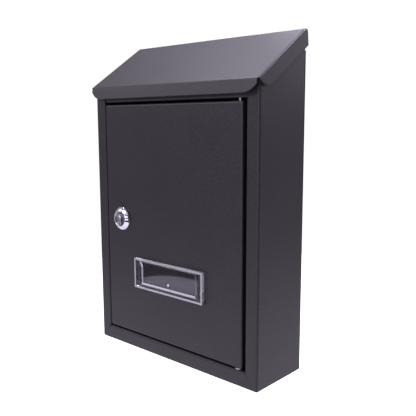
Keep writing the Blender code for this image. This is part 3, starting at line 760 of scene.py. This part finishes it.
def makePlug(settings):
    plug = spinProfile(scaled(settings["profile"]), lockCentre, 60, closed=False)
    key = bmesh.new()
    front = doorFace + settings["keywayStart"]
    corners = [
        key.verts.new((lockCentre.x + x * mm, front, lockCentre.z + z * mm))
        for x, z in settings["keyway"]
    ]
    sheet = bmesh.ops.contextual_create(key, geom=corners)["faces"]
    walls = bmesh.ops.extrude_face_region(key, geom=sheet)["geom"]
    moved = [part for part in walls if isinstance(part, bmesh.types.BMVert)]
    bmesh.ops.translate(key, verts=moved, vec=(0, settings["keywayDepth"], 0))
    bmesh.ops.recalc_face_normals(key, faces=key.faces)
    plug = cutAway(plug, key)
    slotX, slotZ = settings["slotHalf"]
    for face in plug.faces:
        middle = face.calc_center_median() - lockCentre
        away = math.hypot(middle.x, middle.z)
        inSlot = abs(middle.x) < slotX and abs(middle.z) < slotZ
        steep = abs(face.normal.y) < 0.6 or middle.y > 0
        # the keyway walls take the near-black: painted shade in the recess
        if inSlot and steep and middle.y < settings["slotDepth"]:
            face.material_index = 1
        # the left part of the plug face takes the bright chrome: painted highlight
        elif middle.x < 0 and face.normal.y < -0.6 and away < settings["highlightRadius"]:
            face.material_index = 2
    stem = bmesh.new()
    half = settings["stemHalf"]
    stemStart, stemEnd = settings["stemReach"]
    addBlock(
        stem, lockCentre + Vector((-half, stemStart, -half)),
        lockCentre + Vector((half, stemEnd, half)),
    )
    bmesh.ops.bevel(
        stem, geom=stem.edges[:], offset=settings["stemSoften"], segments=2, affect="EDGES",
        profile=0.5, material=-1,
    )
    joinShapes(plug, stem)
    # the plug is mostly the darker copy: painted dark reflection
    addPiece("lockPlug", plug, (darkReflectionMetal, recessShade, chrome), "lock", ["lock_plug"])


nutSettings = {
    "corner": 13.85 * mm,
    "front": 2.3 * mm,
    "back": 6.3 * mm,
    "bore": 9.3 * mm,
    "boreReach": 20 * mm,
    "chamfer": 0.9 * mm,
}


def makeNut(settings):
    bm = bmesh.new()
    bmesh.ops.create_circle(bm, cap_ends=True, segments=6, radius=settings["corner"])
    turn = Matrix.Rotation(math.radians(90), 3, "X") @ Matrix.Rotation(math.radians(30), 3, "Z")
    bmesh.ops.rotate(bm, cent=(0, 0, 0), matrix=turn, verts=bm.verts)
    bmesh.ops.translate(bm, verts=bm.verts, vec=lockCentre + Vector((0, settings["front"], 0)))
    made = bmesh.ops.extrude_face_region(bm, geom=bm.faces[:])["geom"]
    moved = [part for part in made if isinstance(part, bmesh.types.BMVert)]
    thick = settings["back"] - settings["front"]
    bmesh.ops.translate(bm, verts=moved, vec=(0, thick, 0))
    bmesh.ops.recalc_face_normals(bm, faces=bm.faces)
    bmesh.ops.bevel(
        bm, geom=bm.verts[:], offset=settings["chamfer"], segments=1, affect="VERTICES",
        profile=0.5, material=-1,
    )
    bore, reach = settings["bore"], settings["boreReach"]
    outline = [(0, 0), (bore, 0), (bore, -reach), (0, -reach)]
    bm = cutAway(bm, spinProfile(outline, lockCentre, 48, closed=False))
    addPiece("lockNut", bm, (steel,), "door", ["lock_nut"], angle=25)


washerSettings = {
    "profile": [
        (9.3, -1.4), (9.5, -1.32), (12.3, -1.32), (12.5, -1.5), (12.5, -1.8), (12.3, -1.98),
        (9.5, -1.98), (9.3, -1.8),
    ],
}


def makeWasher(settings):
    washer = spinProfile(scaled(settings["profile"]), lockCentre)
    addPiece("lockWasher", washer, (steel,), "door", ["lock_washer"])


screwSettings = {
    "profile": [
        (0, -9.2), (1.35, -9.2), (1.35, -15.9), (3.4, -15.9), (3.6, -16.1), (3.6, -16.9),
        (3.3, -17.5), (2.5, -17.9), (1.3, -18.05), (0, -18.08),
    ],
    "recessHalf": (1.9 * mm, 0.45 * mm),
    "recessDepth": (16.9 * mm, 20 * mm),
}


def makeCamScrew(settings):
    # a domed head with a cross recess
    screw = spinProfile(scaled(settings["profile"]), lockCentre, 48, closed=False)
    longHalf, thinHalf = settings["recessHalf"]
    top, bottom = settings["recessDepth"]
    for halfX, halfZ in ((longHalf, thinHalf), (thinHalf, longHalf)):
        slot = bmesh.new()
        addBlock(
            slot, lockCentre + Vector((-halfX, top, -halfZ)),
            lockCentre + Vector((halfX, bottom, halfZ)),
        )
        screw = cutAway(screw, slot)
    addPiece("camScrew", screw, (zinc,), "lock", ["cam_screw"])


retainerSettings = {
    "profile": [
        (3.5, 0), (4.9, 0), (5.0, -0.1), (5.0, -0.3), (4.9, -0.4), (3.5, -0.4), (2.4, -0.68),
        (2.3, -0.6), (2.3, -0.35),
    ],
    "slitTurns": (0, 60, 120),
    "slitHalf": (3.7 * mm, 2 * mm, 0.22 * mm),
}


def makeRetainer(settings, name, node):
    # a push-on disc whose bent tongues grip the peg
    low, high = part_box(node)
    centre = (low + high) / 2
    centre.y = low.y
    disc = spinProfile(scaled(settings["profile"]), centre, 48)
    half = Vector(settings["slitHalf"])
    for turn in settings["slitTurns"]:
        slit = bmesh.new()
        addBlock(slit, centre - half, centre + half)
        matrix = Matrix.Rotation(math.radians(turn), 3, "Y")
        bmesh.ops.rotate(slit, cent=centre, matrix=matrix, verts=slit.verts)
        disc = cutAway(disc, slit)
    addPiece(name, disc, (steel,), "door", [node])


makeCollar(collarSettings)
makePlug(plugSettings)
makeNut(nutSettings)
makeWasher(washerSettings)
makeCamScrew(screwSettings)
makeRetainer(retainerSettings, "windowClipLeft", "window_retainer_left")
makeRetainer(retainerSettings, "windowClipRight", "window_retainer_right")
print("lock made")


windowLow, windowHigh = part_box("name_window")
windowSettings = {
    "width": 94 * mm,
    "height": 30.7 * mm,
    "thickness": 3.0 * mm,
    "rim": 1.8 * mm,
    "rimWall": 0.25 * mm,
    "landDepth": 1.3 * mm,
    "leftLand": 6.7 * mm,
    "rightLand": 5.1 * mm,
    "topLand": 0.35 * mm,
    "bottomLand": 1.9 * mm,
    "frameRise": 0.9 * mm,
    "frameWidth": 1.5 * mm,
    "pocketDepth": 1.7 * mm,
    "topSlim": 0.9 * mm,
    "kinkLow": 7.2 * mm,
    "kinkHigh": 10.4 * mm,
    "kinkOut": 2.8 * mm,
    "pegX": 42.5 * mm,
    "pegZ": -6.4 * mm,
    "pegProfile": [
        (0, 1.0), (0.9, 0.9), (1.3, 0.5), (1.5, 0), (2.0, -0.2), (2.0, -5.4), (1.7, -5.8),
        (0, -5.8),
    ],
    "pip": (0.4 * mm, 2.05 * mm, -5.4 * mm),
    "pipProfile": [(0, 0.75), (0.6, 0.7), (1.1, 0.45), (1.3, 0.0), (0, 0.0)],
    "frontWall": 0.1 * mm,
    "frameWall": 0.2 * mm,
    "pocketWall": 0.25 * mm,
    "edgeSoften": 0.22 * mm,
    "softenFrom": 50,
    "kinkReach": 1.5 * mm,
}


def insetStep(bm, faces, thickness, depth):
    bmesh.ops.inset_region(
        bm, faces=faces, thickness=thickness, depth=depth, use_even_offset=True,
        use_boundary=True,
    )


def regionVerts(faces):
    return list({vert for face in faces for vert in face.verts})


def stretchRegion(faces, left, right, bottom, top):
    # moves the outline of a patch inwards by a different step on each side
    verts = regionVerts(faces)
    lowX = min(vert.co.x for vert in verts)
    highX = max(vert.co.x for vert in verts)
    lowZ = min(vert.co.z for vert in verts)
    highZ = max(vert.co.z for vert in verts)
    near = 0.3 * mm
    for vert in verts:
        if vert.co.x < lowX + near:
            vert.co.x += left
        elif vert.co.x > highX - near:
            vert.co.x -= right
        if vert.co.z < lowZ + near:
            vert.co.z += bottom
        elif vert.co.z > highZ - near:
            vert.co.z -= top


def makeWindow(settings):
    centre = Vector((
        (windowLow.x + windowHigh.x) / 2,
        windowLow.y + settings["thickness"] / 2,
        (windowLow.z + windowHigh.z) / 2,
    ))
    half = Vector((settings["width"], settings["thickness"], settings["height"])) / 2
    bm = bmesh.new()
    addBlock(bm, centre - half, centre + half)
    for height in (settings["kinkLow"], settings["kinkHigh"]):
        bmesh.ops.bisect_plane(
            bm, geom=bm.verts[:] + bm.edges[:] + bm.faces[:], dist=tiny,
            plane_co=(0, 0, centre.z + height), plane_no=(0, 0, 1),
        )
    front = [face for face in bm.faces if face.normal.y < -0.9]
    insetStep(bm, front, settings["rim"], 0)
    rimFaces = [face for face in bm.faces if face.normal.y < -0.9 and face not in front]
    insetStep(bm, front, settings["rimWall"], -settings["landDepth"])
    insetStep(bm, front, settings["frontWall"], 0)
    stretchRegion(
        front, settings["leftLand"], settings["rightLand"], settings["bottomLand"],
        settings["topLand"],
    )
    kinkFrom = centre.z + settings["kinkLow"] + settings["kinkReach"]
    kinkVerts = [
        vert for vert in regionVerts(front)
        if vert.co.z > kinkFrom and vert.co.x < centre.x
    ]
    bmesh.ops.translate(bm, verts=kinkVerts, vec=(-settings["kinkOut"], 0, 0))
    before = set(bm.faces)
    insetStep(bm, front, settings["frameWall"], settings["frameRise"])
    insetStep(bm, front, settings["frameWidth"], 0)
    stretchRegion(front, 0, 0, 0, -settings["topSlim"])
    between = set(bm.faces)
    insetStep(bm, front, settings["pocketWall"], -settings["pocketDepth"])
    rimFaces += [face for face in bm.faces if face not in between]
    pocketFloor = min(vert.co.z for vert in regionVerts(front))
    for face in between - before:
        if face.normal.z < -0.5 or face.calc_center_median().z < pocketFloor:
            rimFaces.append(face)
    # the rim, the pocket walls and the downward edges take the milky plastic: painted highlight
    # along the window's edges
    for face in rimFaces:
        face.material_index = 1
    bevelled = [
        edge for edge in bm.edges
        if edge.is_manifold and edge.calc_face_angle() > math.radians(settings["softenFrom"])
    ]
    bmesh.ops.bevel(
        bm, geom=bevelled, offset=settings["edgeSoften"], segments=2, affect="EDGES", profile=0.5,
        material=-1, clamp_overlap=True,
    )
    for side in (-1, 1):
        place = Vector((centre.x + side * settings["pegX"], centre.y, centre.z + settings["pegZ"]))
        peg = spinProfile(scaled(settings["pegProfile"]), place, 32, closed=False)
        joinShapes(bm, peg)
    addPiece(
        "nameWindow", bm, (clearPlastic, highlightRimPlastic), "door", ["name_window"],
        angle=25,
    )
    # a small dome coloured white: painted highlight
    x, depth, z = settings["pip"]
    place = Vector((centre.x + x, windowLow.y + depth, centre.z + z))
    pip = spinProfile(scaled(settings["pipProfile"]), place, 32, closed=False)
    addPiece("windowPip", pip, (pipHighlight,), "door")


backingSettings = {
    "lowInset": (9.0 * mm, 4.2 * mm),
    "highInset": (7.5 * mm, 1.8 * mm),
    "front": 0.22 * mm,
    "back": 0.06 * mm,
    "corner": 1.5 * mm,
}


def makeWindowBacking(settings):
    # a thin dark film in the gap behind the clear pocket: painted shade, with a painted reflection
    # on its lower part
    leftInset, lowInset = settings["lowInset"]
    rightInset, topInset = settings["highInset"]
    front = doorFace - settings["front"]
    back = doorFace - settings["back"]
    low = Vector((windowLow.x + leftInset, front, windowLow.z + lowInset))
    high = Vector((windowHigh.x - rightInset, back, windowHigh.z - topInset))
    bm = bmesh.new()
    addBlock(bm, low, high)
    through = [
        edge for edge in bm.edges
        if abs(edge.verts[0].co.y - edge.verts[1].co.y) > (back - front) / 2
    ]
    bmesh.ops.bevel(
        bm, geom=through, offset=settings["corner"], segments=4, affect="EDGES", profile=0.5,
        material=-1,
    )
    film = makeShadeFilm(shadeFilmSettings, (windowLow + windowHigh) / 2)
    addPiece("windowShadeFilm", bm, (film,), "door")


makeWindow(windowSettings)
makeWindowBacking(backingSettings)
print("window made")
